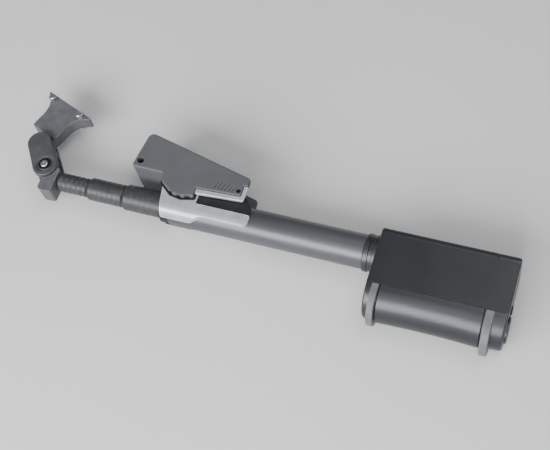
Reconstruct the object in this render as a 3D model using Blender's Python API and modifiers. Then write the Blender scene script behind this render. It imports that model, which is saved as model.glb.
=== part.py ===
"""Telescoping search wand, collapsed and lying on its side.

Metres in the file, millimetres in the dimensions below.  The pole runs along X with the swivel
head at -X and the electronics housing at +X.  Every piece is placed in the pole frame, whose X
axis is the centre line of the tubes; the empty "pole_frame" lifts that frame so that the wand
stands on z = 0 with its footprint centred on the origin.
"""
from math import atan2, ceil, cos, degrees, hypot, pi, radians, sin

import bmesh
import bpy
from mathutils import Matrix, Vector

MM = 0.001

# ---- driving dimensions, mm, in the pole frame ------------------------------------------------
FRAME_LIFT = (0.28, -10.42, 19.6)      # pole frame above the floor and off the footprint's centre
GAP = 0.3                              # clearance between two fitted pieces

# telescoping tubes, smallest first: outer radius, inner radius, mouth x, inner end x
STAGES = {
    "a": (4.2, 3.2, -177.0, 185.0),
    "b": (5.6, 4.6, -156.5, 189.0),
    "c": (7.2, 6.2, -128.5, 193.0),
    "d": (8.8, 7.8, -97.5, 197.0),
}
# twist collars: stage that carries it, stage it grips, front x, back x, outer radius
COLLARS = {
    "collar_1": ("b", "a", -168.0, -140.3, 7.8),
    "collar_2": ("c", "b", -140.0, -107.8, 9.3),
    "collar_3": ("d", "c", -107.5, -73.2, 10.6),
}
OUTER_R, OUTER_BORE = 13.5, 11.8       # fixed tube
OUTER_X = (-66.0, 203.2)

# swivel head
PIVOT_1 = (-182.0, 7.5)                # pole end block to link
PIVOT_2 = (-195.5, 26.2)               # link to head plate
PIVOT_BORE = 2.5
LINK_R1, LINK_R2, LINK_Z = 10.5, 10.0, 11.0
TONGUE_Z = 4.6                         # half thickness of both tongues
PLATE_MID = (-187.0, 69.5)             # middle of the head plate's far edge
PLATE_ANGLE = 68.8                     # direction in which the plate points, degrees from +X
PLATE_Z = 6.0
THUMB_OFFSET = (-4.2, 16.0)            # thumbscrews: back from the far edge, out from the middle

# folding grip
GRIP_PIVOT = (-12.8, 17.3)
GRIP_Z, CHEEK_Z = 19.6, 16.3           # outer face and inner face of the cheeks
GRIP_SCREW = (-99.7, 25.5)
TRIGGER_PIN = (-24.0, 25.6)
SADDLE_Z = 15.5

# housing
HOUSE_Z = 19.6                         # half its height
HOUSE_BACK = 15.8                      # its flat back, y
BODY_X = (115.2, 191.8)                # body between the two end caps
BODY_FRONT = -51.6                     # nose line at the middle of the body, y
WALL = 2.2
BATTERY_Y, BATTERY_R = -35.3, 9.8
BUTTON_Y = -19.5

COLOURS = {                            # base colour, metallic, roughness
    "anodised_grey": ((0.060, 0.064, 0.068), 0.85, 0.38),
    "collar_black": ((0.032, 0.033, 0.035), 0.0, 0.55),
    "silver_paint": ((0.52, 0.53, 0.54), 0.6, 0.35),
    "steel": ((0.55, 0.55, 0.56), 1.0, 0.28),
    "grip_plastic": ((0.055, 0.058, 0.062), 0.0, 0.62),
    "bracket_black": ((0.012, 0.012, 0.013), 0.0, 0.5),
    "housing_anodised": ((0.060, 0.063, 0.068), 0.9, 0.37),
    "label_film": ((0.018, 0.019, 0.020), 0.0, 0.30),
    "link_grey": ((0.075, 0.079, 0.084), 0.3, 0.48),
    "board_green": ((0.020, 0.110, 0.045), 0.0, 0.45),
    "cell_wrap": ((0.050, 0.055, 0.060), 0.0, 0.40),
    "glide_white": ((0.60, 0.60, 0.58), 0.0, 0.50),
}

# ---- scene and collections --------------------------------------------------------------------
for old in list(bpy.data.objects):
    bpy.data.objects.remove(old, do_unlink=True)


def collection(name):
    made = bpy.data.collections.new(name)
    bpy.context.scene.collection.children.link(made)
    return made


PARTS = collection("search_wand")
CUTTERS = collection("cutters")


def empty(name, at, parent=None):
    ob = bpy.data.objects.new(name, None)
    ob.location = Vector(at) * MM
    ob.parent = parent
    PARTS.objects.link(ob)
    return ob


POLE = empty("pole_frame", FRAME_LIFT)
AXES = {                               # one empty on each joint's axis, in the pole frame
    "stage": empty("stage_axis", (0, 0, 0), POLE),
    "link": empty("link_axis", (*PIVOT_1, 0), POLE),
    "head": empty("head_axis", (*PIVOT_2, 0), POLE),
    "grip": empty("grip_axis", (*GRIP_PIVOT, 0), POLE),
    "trigger": empty("trigger_axis", (*TRIGGER_PIN, 0), POLE),
    "cap": empty("battery_cap_axis", (0, BATTERY_Y, 0), POLE),
    "button": empty("power_button_axis", (0, BUTTON_Y, 0), POLE),
    "root": POLE,
}
MATERIALS = {}


def material(name):
    if name not in MATERIALS:
        rgb, metallic, roughness = COLOURS[name]
        mat = bpy.data.materials.new(name)
        mat.use_nodes = True
        shader = mat.node_tree.nodes["Principled BSDF"]
        shader.inputs["Base Color"].default_value = (*rgb, 1.0)
        shader.inputs["Metallic"].default_value = metallic
        shader.inputs["Roughness"].default_value = roughness
        mat.diffuse_color = (*rgb, 1.0)
        MATERIALS[name] = mat
    return MATERIALS[name]


def finish(ob, mat=None, axis="root"):
    """File the object as a part with its material, or as a cutter when it has none."""
    if mat:
        ob.data.materials.append(material(mat))
        PARTS.objects.link(ob)
    else:
        CUTTERS.objects.link(ob)
        ob.hide_render = True
        ob.display_type = "WIRE"
    ob.parent = AXES[axis]
    if axis != "root":
        ob.location = Vector(ob.location) - AXES[axis].location
    return ob


# ---- shapes -----------------------------------------------------------------------------------
def turned(name, outer, inner=None, at=(0, 0, 0), along="X", mat=None, axis="root", steps=32):
    """Profile of (distance, radius) points, growing distance, turned about X or Z."""
    loop = [(r, s) for s, r in reversed(outer)]
    if inner:
        loop += [(r, s) for s, r in inner]
    else:
        loop = [(0.0, outer[-1][0])] + loop + [(0.0, outer[0][0])]
    bm = bmesh.new()
    verts = [bm.verts.new((r * MM, 0, s * MM)) for r, s in loop]
    pairs = list(zip(verts, verts[1:] + verts[:1])) if inner else list(zip(verts, verts[1:]))
    for pair in pairs:
        bm.edges.new(pair)
    mesh = bpy.data.meshes.new(name)
    bm.to_mesh(mesh)
    bm.free()
    ob = bpy.data.objects.new(name, mesh)
    ob.location = Vector(at) * MM
    ob.rotation_euler = (0, pi / 2, 0) if along == "X" else (0, 0, 0)
    screw = ob.modifiers.new("turn", "SCREW")
    screw.axis = "Z"
    screw.steps = screw.render_steps = steps
    screw.use_merge_vertices = True
    screw.merge_threshold = 0.00001
    screw.use_normal_calculate = False
    return finish(ob, mat, axis)


def ring(name, x0, x1, r_out, r_in, **more):
    return turned(name, [(x0, r_out), (x1, r_out)], [(x0, r_in), (x1, r_in)], **more)


def rod(name, s0, s1, radius, **more):
    return turned(name, [(s0, radius), (s1, radius)], **more)


def box(name, lo, hi, mat=None, axis="root", bevel=0.0):
    lo, hi = Vector(lo) * MM, Vector(hi) * MM
    bm = bmesh.new()
    bmesh.ops.create_cube(bm, size=1.0, matrix=Matrix.Diagonal((*(hi - lo), 1.0)))
    mesh = bpy.data.meshes.new(name)
    bm.to_mesh(mesh)
    bm.free()
    ob = bpy.data.objects.new(name, mesh)
    ob.location = (lo + hi) / 2
    if bevel:
        soften(ob, bevel)
    return finish(ob, mat, axis)


def soften(ob, width, segments=2):
    bevel = ob.modifiers.new("edge", "BEVEL")
    bevel.width = width * MM
    bevel.segments = segments
    bevel.limit_method = "ANGLE"
    bevel.angle_limit = radians(40)


def rounded(corners, steps=4):
    """Closed outline: each corner is (x, y) or (x, y, radius)."""
    points = []
    for i, corner in enumerate(corners):
        here = Vector(corner[:2])
        if len(corner) < 3:
            points.append(here)
            continue
        before = (Vector(corners[i - 1][:2]) - here).normalized()
        after = (Vector(corners[(i + 1) % len(corners)][:2]) - here).normalized()
        half = before.angle(after) / 2
        reach = corner[2] / abs(sin(half))
        centre = here + (before + after).normalized() * reach
        start = here + before * (corner[2] / abs(sin(half)) * cos(half)) - centre
        end = here + after * (corner[2] / abs(sin(half)) * cos(half)) - centre
        turn = start.angle_signed(end)
        for k in range(steps + 1):
            points.append(centre + Matrix.Rotation(-turn * k / steps, 2) @ start)
    return [tuple(p) for p in points]


def plate(name, outline, z0, z1, mat=None, axis="root", bevel=0.0):
    """Flat outline as a filled 2D curve, turned into a mesh of the given height."""
    curve = bpy.data.curves.new(name, "CURVE")
    curve.dimensions = "2D"
    curve.fill_mode = "BOTH"
    curve.extrude = (z1 - z0) / 2 * MM
    spline = curve.splines.new("POLY")
    spline.points.add(len(outline) - 1)
    for point, (x, y) in zip(spline.points, outline):
        point.co = (x * MM, y * MM, 0, 1)
    spline.use_cyclic_u = True
    flat = bpy.data.objects.new(name + "_outline", curve)
    bpy.context.scene.collection.objects.link(flat)
    bpy.context.view_layer.update()
    depsgraph = bpy.context.evaluated_depsgraph_get()
    mesh = bpy.data.meshes.new_from_object(flat.evaluated_get(depsgraph))
    bm = bmesh.new()
    bm.from_mesh(mesh)
    bmesh.ops.remove_doubles(bm, verts=bm.verts, dist=1e-6)
    bmesh.ops.recalc_face_normals(bm, faces=bm.faces)
    bm.to_mesh(mesh)
    bm.free()
    bpy.data.objects.remove(flat, do_unlink=True)
    ob = bpy.data.objects.new(name, mesh)
    ob.location = (0, 0, (z0 + z1) / 2 * MM)
    if bevel:
        soften(ob, bevel)
    return finish(ob, mat, axis)


def loft(name, stations, mat=None):
    """Skin over equal rings of (x, y, z) points, capped at both ends."""
    bm = bmesh.new()
    rings = []
    for points in stations:
        verts = [bm.verts.new(Vector(p) * MM) for p in points]
        rings.append([bm.edges.new(pair) for pair in zip(verts, verts[1:] + verts[:1])])
    for one, two in zip(rings, rings[1:]):
        bmesh.ops.bridge_loops(bm, edges=one + two)
    for end in (rings[0], rings[-1]):
        bmesh.ops.contextual_create(bm, geom=end)
    bmesh.ops.recalc_face_normals(bm, faces=bm.faces)
    mesh = bpy.data.meshes.new(name)
    bm.to_mesh(mesh)
    bm.free()
    return finish(bpy.data.objects.new(name, mesh), mat)


def combine(ob, tools, operation="DIFFERENCE"):
    for tool in tools if isinstance(tools, list) else [tools]:
        mod = ob.modifiers.new(tool.name, "BOOLEAN")
        mod.operation = operation
        mod.solver = "EXACT"
        mod.object = tool
    return ob


def coil(name, centre, radius, wire, length, turns, along="X", mat="steel", axis="root"):
    """Closely wound spring as a bevelled poly curve with closed ends."""
    curve = bpy.data.curves.new(name, "CURVE")
    curve.dimensions = "3D"
    curve.bevel_depth = wire * MM
    curve.bevel_resolution = 1
    curve.use_fill_caps = True
    spline = curve.splines.new("POLY")
    count = ceil(turns * 14)
    spline.points.add(count)
    for k, point in enumerate(spline.points):
        turn = 2 * pi * turns * k / count
        s, u, v = length * (k / count - 0.5), radius * cos(turn), radius * sin(turn)
        x, y, z = (s, u, v) if along == "X" else (u, v, s)
        point.co = (x * MM, y * MM, z * MM, 1)
    ob = bpy.data.objects.new(name, curve)
    ob.location = Vector(centre) * MM
    return finish(ob, mat, axis)


# ---- telescoping pole -------------------------------------------------------------------------
ring("outer_tube", *OUTER_X, OUTER_R, OUTER_BORE, mat="anodised_grey", steps=40)
turned("mouth_bushing",
       [(-72.9, 13.0), (-66.4, 13.0), (-66.3, 11.4), (-36.0, 11.4)],
       [(-72.9, 9.2), (-36.0, 9.2)], mat="bracket_black")
turned("tube_end_ring",
       [(93.6, 14.2), (94.2, 14.8), (98.0, 14.8), (98.4, 14.1), (100.6, 14.1), (101.0, 14.8),
        (104.1, 14.8)],
       [(93.6, OUTER_R + GAP), (104.1, OUTER_R + GAP)], mat="housing_anodised", steps=40)

for key, (r_out, r_in, mouth, end) in STAGES.items():
    ring("stage_tube_" + key, mouth, end, r_out, r_in, mat="anodised_grey", axis="stage")

for name, (carrier, inner, front, back, r_out) in COLLARS.items():
    bore = STAGES[carrier][0] + GAP
    throat = STAGES[inner][0] + GAP
    turned(name,
           [(front, r_out - 0.7), (front + 0.7, r_out), (back - 0.7, r_out), (back, r_out - 0.7)],
           [(front, throat), (front + 1.6, throat), (front + 1.6, bore), (back, bore)],
           mat="collar_black", axis="stage")
    # split sleeve that the collar squeezes onto the next tube
    number = name[-1]
    sleeve = ring("lock_sleeve_" + number, front + 2.0, STAGES[carrier][2] - GAP,
                  bore - GAP, throat, mat="glide_white", axis="stage", steps=24)
    split = box("sleeve_split_" + number, (front, -0.5, 0), (STAGES[carrier][2], 0.5, r_out))
    combine(sleeve, split)

# ---- swivel head ------------------------------------------------------------------------------
link_dir = Vector((PIVOT_2[0] - PIVOT_1[0], PIVOT_2[1] - PIVOT_1[1]))
LINK_ANGLE = atan2(link_dir.y, link_dir.x)
plate_dir = Vector((cos(radians(PLATE_ANGLE)), sin(radians(PLATE_ANGLE))))
plate_side = Vector((plate_dir.y, -plate_dir.x))


def capsule(p, q, r_p, r_q, steps=12):
    """Outline around two circles, p first."""
    p, q = Vector(p), Vector(q)
    heading = atan2(q.y - p.y, q.x - p.x)
    spread = pi / 2 + (r_q - r_p) / (q - p).length
    points = []
    for centre, radius, mid, half in ((p, r_p, heading + pi, pi - spread),
                                      (q, r_q, heading, spread)):
        for k in range(steps + 1):
            turn = mid - half + 2 * half * k / steps
            points.append((centre.x + radius * cos(turn), centre.y + radius * sin(turn)))
    return points


def on_plate(along, across):
    spot = Vector(PLATE_MID) + plate_dir * along + plate_side * across
    return spot.x, spot.y


def on_link(along, across):
    heading = Vector((cos(LINK_ANGLE), sin(LINK_ANGLE)))
    spot = Vector(PIVOT_1) + heading * along + Vector((heading.y, -heading.x)) * across
    return spot.x, spot.y


block = plate("pole_end_block",
              rounded([(-180.5, 7.5, 2), (-180.5, -14.5, 3), (-168.3, -14.5, 2),
                       (-168.3, 7.5, 2)]), -8.8, 8.8, mat="link_grey", axis="stage")
tongue = plate("end_tongue", capsule(PIVOT_1, (-177.0, 1.0), 8.7, 8.6), -TONGUE_Z, TONGUE_Z)
upper = rod("ear_space_up", TONGUE_Z, 12.0, LINK_R1 + 0.5, at=(*PIVOT_1, 0), along="Z")
lower = rod("ear_space_down", -12.0, -TONGUE_Z, LINK_R1 + 0.5, at=(*PIVOT_1, 0), along="Z")
combine(block, [upper, lower])
combine(block, tongue, "UNION")
combine(block, [rod("end_pivot_hole", -13, 13, PIVOT_BORE, at=(*PIVOT_1, 0), along="Z", steps=24),
                rod("end_tube_socket", -177.3, -160, STAGES["a"][0] + GAP, steps=24)])

link = plate("swivel_link", capsule(PIVOT_1, PIVOT_2, LINK_R1, LINK_R2), -LINK_Z, LINK_Z,
             mat="link_grey", axis="link")
for name, reach in (("link_slot_1", (-16.0, 9.2)), ("link_slot_2", (14.9, 36.0))):
    corners = [on_link(reach[0], -16), on_link(reach[0], 16),
               on_link(reach[1], 16), on_link(reach[1], -16)]
    combine(link, plate(name, corners, -TONGUE_Z - 0.4, TONGUE_Z + 0.4))
combine(link, [rod("link_hole_1", -13, 13, PIVOT_BORE, at=(*PIVOT_1, 0), along="Z",
                   steps=24),
               rod("link_hole_2", -13, 9.6, PIVOT_BORE, at=(*PIVOT_2, 0), along="Z", steps=24)])

flare = [(0.0, 24.7), (-1.6, 24.2), (-5.0, 19.8), (-9.0, 16.3), (-14.0, 14.1), (-20.0, 13.3)]
near = [(-28.0, 13.5), (-32.2, 13.2), (-33.0, 12.0)]
half = flare + near
outline = [on_plate(a, p) for a, p in half] + [on_plate(a, -p) for a, p in reversed(half)]
head = plate("head_plate", outline, -PLATE_Z, PLATE_Z, mat="link_grey", axis="head")
root_spot = on_plate(-27.0, 5.0)
combine(head, plate("head_tongue", capsule(PIVOT_2, root_spot, 7.7, 7.0), -TONGUE_Z, TONGUE_Z),
        "UNION")
combine(head, rod("head_pivot_hole", -13, 13, PIVOT_BORE, at=(*PIVOT_2, 0), along="Z", steps=24))
for name, side in (("thumbscrew_left", -1), ("thumbscrew_right", 1)):
    x, y = on_plate(THUMB_OFFSET[0], THUMB_OFFSET[1] * side)
    combine(head, rod("hole_" + name, -8, 8, 2.2, at=(x, y, 0), along="Z", steps=24))
    turned(name, [(-10.0, 1.4), (-9.4, 1.9), (6.4, 1.9), (6.4, 3.2), (10.4, 3.2), (11.0, 2.7)],
           at=(x, y, 0), along="Z", mat="steel", axis="head", steps=24)

turned("pivot_screw_1", [(-14.0, 2.1), (11.3, 2.1), (11.3, 3.6), (12.2, 3.4), (12.7, 2.4)],
       at=(*PIVOT_1, 0), along="Z", mat="steel", axis="link", steps=24)
turned("pivot_nut_1", [(-13.6, 4.4), (-11.3, 4.4)], [(-13.6, 2.8), (-11.3, 2.8)],
       at=(*PIVOT_1, 0), along="Z", mat="steel", axis="link", steps=6)
turned("pivot_screw_2", [(-12.9, 2.6), (-12.4, 3.8), (-11.3, 3.8), (-11.3, 2.1), (9.2, 2.1)],
       at=(*PIVOT_2, 0), along="Z", mat="steel", axis="head", steps=24)

# ---- saddle and grip --------------------------------------------------------------------------
saddle = plate("saddle",
               rounded([(-76.4, 15.5), (-70.9, -13.0), (-47.0, -13.0, 7), (-37.0, -8.6, 9),
                        (1.6, -8.6, 4), (1.6, 0.8, 2), (-44.0, 0.8), (-44.0, 15.5)], 5),
               -SADDLE_Z, SADDLE_Z, mat="silver_paint")
section = plate("saddle_section",
                rounded([(-13.0, -15.5, 9), (15.5, -15.5, 5), (15.5, 15.5, 5),
                         (-13.0, 15.5, 9)], 6), -90, 20)
section.rotation_euler = (pi / 2, 0, pi / 2)          # its flat outline becomes the YZ section
section.location = (-35 * MM, 0, 0)
combine(saddle, section, "INTERSECT")
bore = rod("saddle_bore", -90, 20, OUTER_R + GAP, steps=40)
combine(saddle, [bore, box("saddle_open_front", (-90, -20, -6.0), (20, -5, 6.0))])

bracket = plate("hinge_bracket",
                rounded([(-43.7, 15.9), (-43.7, 1.1), (0.4, 1.1, 1.5), (0.4, 8.0, 3),
                         (-6.5, 15.0, 3), (-8.0, 21.8, 4), (-17.3, 21.8, 4),
                         (-19.0, 15.9, 3)]), -15.2, 15.2, mat="bracket_black")
combine(bracket, [bore, box("bracket_inside", (-22.0, -5, -13.85), (5, 25, 13.85)),
                  rod("bracket_hole", -18, 18, 1.9, at=(*GRIP_PIVOT, 0), along="Z", steps=20)])
rod("grip_pivot_pin", -19.3, 19.3, 1.6, at=(*GRIP_PIVOT, 0), along="Z", mat="steel", steps=20)

CHEEK = rounded([(-101.4, 53.0, 5), (-105.7, 19.1, 3), (-78.2, 19.0, 1.5), (-76.6, 12.0, 3),
                 (-65.5, 3.6, 5), (-57.0, 2.4, 6), (-46.6, 4.6, 1.5), (-46.6, 12.0),
                 (-9.8, 13.6), (-9.8, 22.6), (-6.6, 23.2), (-6.9, 30.2, 3)])
BODY = [(-101.4, 53.0, 5), (-105.7, 19.1, 3), (-18.0, 19.1, 1), (-18.0, 32.9)]
POCKET = [(-99.5, 50.2), (-103.2, 21.4), (-20.2, 21.4), (-20.2, 31.1)]
TRIM = rounded([(-46.3, 7.5, 1), (-6.5, 9.9, 2), (-6.5, 22.6), (-9.5, 22.2),
                (-9.5, 13.1), (-46.3, 11.6)])
for name, up in (("upper", 1), ("lower", -1)):
    def layer(z0, z1):
        return (z0, z1) if up > 0 else (-z1, -z0)

    shell = plate("grip_shell_" + name, CHEEK, *layer(CHEEK_Z, GRIP_Z), mat="grip_plastic",
                  axis="grip")
    walls = plate("grip_walls_" + name, rounded(BODY), *layer(0.15, CHEEK_Z + 0.2))
    pocket = plate("grip_pocket_" + name, POCKET, *layer(-1.0, GRIP_Z - 2.0))
    boss = rod("grip_boss_" + name, *layer(0.15, GRIP_Z - 1.6), 4.6, at=(*GRIP_SCREW, 0),
               along="Z", steps=24)
    combine(shell, walls, "UNION")
    combine(shell, pocket)
    combine(shell, boss, "UNION")
    holes = [rod("grip_screw_hole_" + name, *layer(-2, 14.0), 1.8, at=(*GRIP_SCREW, 0),
                 along="Z", steps=20),
             rod("grip_pin_hole_" + name, *layer(10, 21), 1.9, at=(*GRIP_PIVOT, 0), along="Z",
                 steps=20),
             box("trigger_slot_" + name, (-43.6, 17, min(layer(-1, 5.4))),
                 (-20.6, 22.5, max(layer(-1, 5.4))))]
    if up > 0:
        holes.append(rod("grip_screw_head_space", 13.9, 21, 2.9, at=(*GRIP_SCREW, 0),
                         along="Z", steps=20))
    combine(shell, holes)
    plate("grip_trim_" + name, TRIM, *layer(CHEEK_Z, GRIP_Z - 0.3), mat="silver_paint",
          axis="grip")

turned("grip_screw", [(-12.5, 1.5), (14.3, 1.5), (14.3, 2.6), (16.2, 2.4)],
       at=(*GRIP_SCREW, 0), along="Z", mat="steel", axis="grip", steps=20)
trigger = plate("trigger",
                rounded([(-42.6, 16.5, 1.5), (-21.4, 16.5, 1.5), (-21.2, 28.2, 2.4),
                         (-27.0, 28.2, 2.4), (-28.6, 22.4, 2), (-41.9, 22.0, 1.5)]),
                -4.9, 4.9, mat="bracket_black", axis="trigger")
combine(trigger, rod("trigger_hole", -6, 6, 1.5, at=(*TRIGGER_PIN, 0), along="Z", steps=20))
rod("trigger_pin", -17.2, 17.2, 1.2, at=(*TRIGGER_PIN, 0), along="Z", mat="steel",
    axis="grip", steps=16)
coil("trigger_spring", (*TRIGGER_PIN, 7.0), 2.1, 0.35, 3.0, 4, along="Z", axis="grip")
box("trigger_switch", (-42.5, 27.4, -4.5), (-30.0, 33.2, 4.5), mat="bracket_black",
    axis="grip", bevel=0.4)


# ---- electronics housing ----------------------------------------------------------------------
def house_section(x, front, back=HOUSE_BACK, half=HOUSE_Z, corner=5.0):
    """Rounded nose towards -Y, small corners towards +Y."""
    points = []
    for k in range(15):
        turn = pi / 2 + pi * k / 14
        points.append((x, front + half + half * cos(turn), half * sin(turn)))
    for side in (-1, 1):
        for k in range(5):
            turn = side * pi / 2 - side * (pi / 2) * (k if side < 0 else 4 - k) / 4
            points.append((x, back - corner + corner * cos(turn),
                           side * (half - corner) + corner * sin(turn)))
    return points


def waist(x):
    """Front line of the body: a millimetre fuller at its two ends."""
    t = (2 * x - BODY_X[0] - BODY_X[1]) / (BODY_X[1] - BODY_X[0])
    return BODY_FRONT - t * t


body_stations = [BODY_X[0] + (BODY_X[1] - BODY_X[0]) * k / 8 for k in range(9)]
shell = loft("housing_body", [house_section(x, waist(x)) for x in body_stations],
             mat="housing_anodised")
combine(shell, loft("housing_inside",
                    [house_section(x, waist(x) + WALL, 14.0, HOUSE_Z - WALL, 4.0)
                     for x in (114, 134, 153.5, 173, 193)]))

front_cap = loft("housing_front_cap",
                 [house_section(x, front) for x, front in
                  ((104.4, -49.6), (105.6, -50.8), (108.3, -51.0), (108.8, -56.0),
                   (114.2, -56.0), (114.9, -52.2))], mat="housing_anodised")
combine(front_cap, [loft("front_cap_inside",
                         [house_section(x, -48.6, 14.0, HOUSE_Z - WALL, 4.0) for x in (107.4, 116)]),
                    rod("front_cap_bore", 100, 110, OUTER_R + GAP, steps=40)])

rear_cap = loft("housing_rear_cap",
                [house_section(x, front) for x, front in
                 ((192.1, -52.4), (192.8, -57.6), (199.0, -57.6), (199.6, -51.0),
                  (207.4, -50.8), (208.6, -49.4))], mat="housing_anodised")
combine(rear_cap, [loft("rear_cap_inside",
                        [house_section(x, -48.6, 14.0, HOUSE_Z - WALL, 4.0) for x in (191, 203.8)]),
                   rod("battery_mouth", 200, 212, BATTERY_R + 0.5, at=(0, BATTERY_Y, 0)),
                   rod("button_hole", 200, 212, 4.1, at=(0, BUTTON_Y, 0), steps=24)])
CAP_SCREWS = ((9.6, 15.2), (9.6, -15.2), (-24.5, 15.4), (-24.5, -15.4))
for number, (y, z) in enumerate(CAP_SCREWS, 1):
    combine(rear_cap, turned(f"cap_screw_hole_{number}",
                             [(200, 1.5), (207.0, 1.5), (207.0, 2.7), (210, 2.7)],
                             at=(0, y, z), steps=20))
    turned(f"cap_screw_{number}", [(201.0, 1.2), (207.3, 1.2), (207.3, 2.4), (208.3, 2.2)],
           at=(0, y, z), mat="steel", steps=20)

plate("label_panel", rounded([(105.4, -31.0, 2), (207.6, -31.0, 2), (207.6, 9.6, 2),
                              (105.4, 9.6, 2)]), HOUSE_Z + 0.3, HOUSE_Z + 0.8,
      mat="label_film")

box("main_board", (118.0, -21.6, -15.5), (195.8, -20.0, 15.5), mat="board_green")
box("rf_shield", (126.0, -19.7, -11.5), (168.0, -14.6, 11.5), mat="steel", bevel=0.5)
box("power_switch", (196.2, -23.0, -3.5), (200.3, -16.2, 3.5), mat="bracket_black", bevel=0.3)
turned("battery_pack", [(112.0, 9.0), (112.8, BATTERY_R), (197.6, BATTERY_R), (198.4, 9.0)],
       at=(0, BATTERY_Y, 0), mat="cell_wrap")
coil("battery_spring", (109.7, BATTERY_Y, 0), 5.0, 0.5, 2.6, 3)
turned("battery_cap", [(198.8, 9.0), (199.6, 10.0), (209.7, 10.0), (210.4, 9.3)],
       at=(0, BATTERY_Y, 0), mat="housing_anodised", axis="cap")
turned("power_button", [(201.8, 3.8), (209.2, 3.8), (209.7, 3.3)], at=(0, BUTTON_Y, 0),
       mat="bracket_black", axis="button", steps=24)

for ob in PARTS.objects:
    if ob.type == "MESH":
        ob.data.set_sharp_from_angle(angle=radians(35))
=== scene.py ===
"""Telescoping search wand, collapsed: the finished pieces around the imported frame."""
from math import atan2, cos, pi, radians, sin, tan

import bmesh
import bpy
from mathutils import Matrix, Vector


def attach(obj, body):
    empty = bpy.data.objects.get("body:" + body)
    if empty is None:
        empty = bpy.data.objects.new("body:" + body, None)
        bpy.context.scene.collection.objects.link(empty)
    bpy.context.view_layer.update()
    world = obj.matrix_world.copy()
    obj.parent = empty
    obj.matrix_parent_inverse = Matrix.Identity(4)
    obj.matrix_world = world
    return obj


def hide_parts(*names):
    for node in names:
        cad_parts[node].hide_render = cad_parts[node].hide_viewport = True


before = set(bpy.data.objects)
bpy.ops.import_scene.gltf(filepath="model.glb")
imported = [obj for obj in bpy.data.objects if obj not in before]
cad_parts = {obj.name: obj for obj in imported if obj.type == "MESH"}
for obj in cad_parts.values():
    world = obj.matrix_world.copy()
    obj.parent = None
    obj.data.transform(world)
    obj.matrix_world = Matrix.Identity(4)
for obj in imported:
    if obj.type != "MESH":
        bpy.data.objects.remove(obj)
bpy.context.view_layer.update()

MM = 0.001
# pieces are drawn in millimetres about the pole's centre line, which lies this far off the origin
POLE = Matrix.Translation((0.00028, -0.01042, 0.0196)) @ Matrix.Diagonal((MM, MM, MM, 1))

PIVOT_1, PIVOT_2 = (-182.0, 7.5), (-195.5, 26.2)      # pole to link, link to head plate
PLATE_MID, PLATE_ANGLE = (-187.0, 69.5), 68.8         # head plate's far edge and heading
PIVOT_BORE = 2.5                                      # radius of the pivot screws' holes
TONGUE, FORK = 4.6, 5.0                               # half a tongue's height and half its slot's
GRIP_PIVOT, GRIP_SCREW, TRIGGER_PIN = (-12.8, 17.3), (-99.7, 25.5), (-24.0, 25.6)
TUBE_FIT = 13.8                                       # bores that go round the fixed tube
FACE_Z = 19.6                                         # faces of the grip and of the housing
BODY_X, WALL = (115.2, 191.8), 2.2                    # housing's middle section and its wall
BATTERY_Y, BUTTON_Y = -35.3, -19.5
CAP_SCREWS = ((9.6, 15.2), (9.6, -15.2), (-24.5, 15.4), (-24.5, -15.4))    # (y, z) of each
FINE, ROUND, SMALL = 96, 64, 32                       # facets round a tube, a knob and a screw


# ---- finishes ---------------------------------------------------------------------------------
def linear(hex_value):
    """sRGB hex to linear, with alpha."""
    parts = [int(hex_value[i:i + 2], 16) / 255 for i in (1, 3, 5)]
    return [p / 12.92 if p <= 0.04045 else ((p + 0.055) / 1.055) ** 2.4 for p in parts] + [1.0]


def add(tree, kind, settings=(), links=()):
    """One node, with its settings and its links; a socket is called by its name or its number."""
    node = tree.nodes.new("ShaderNode" + kind)
    for name, value in dict(settings).items():
        if isinstance(name, int) or name in node.inputs:
            node.inputs[name].default_value = value
        else:
            setattr(node, name, value)
    for name, source in dict(links).items():
        tree.links.new(source, node.inputs[name])
    return node


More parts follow.
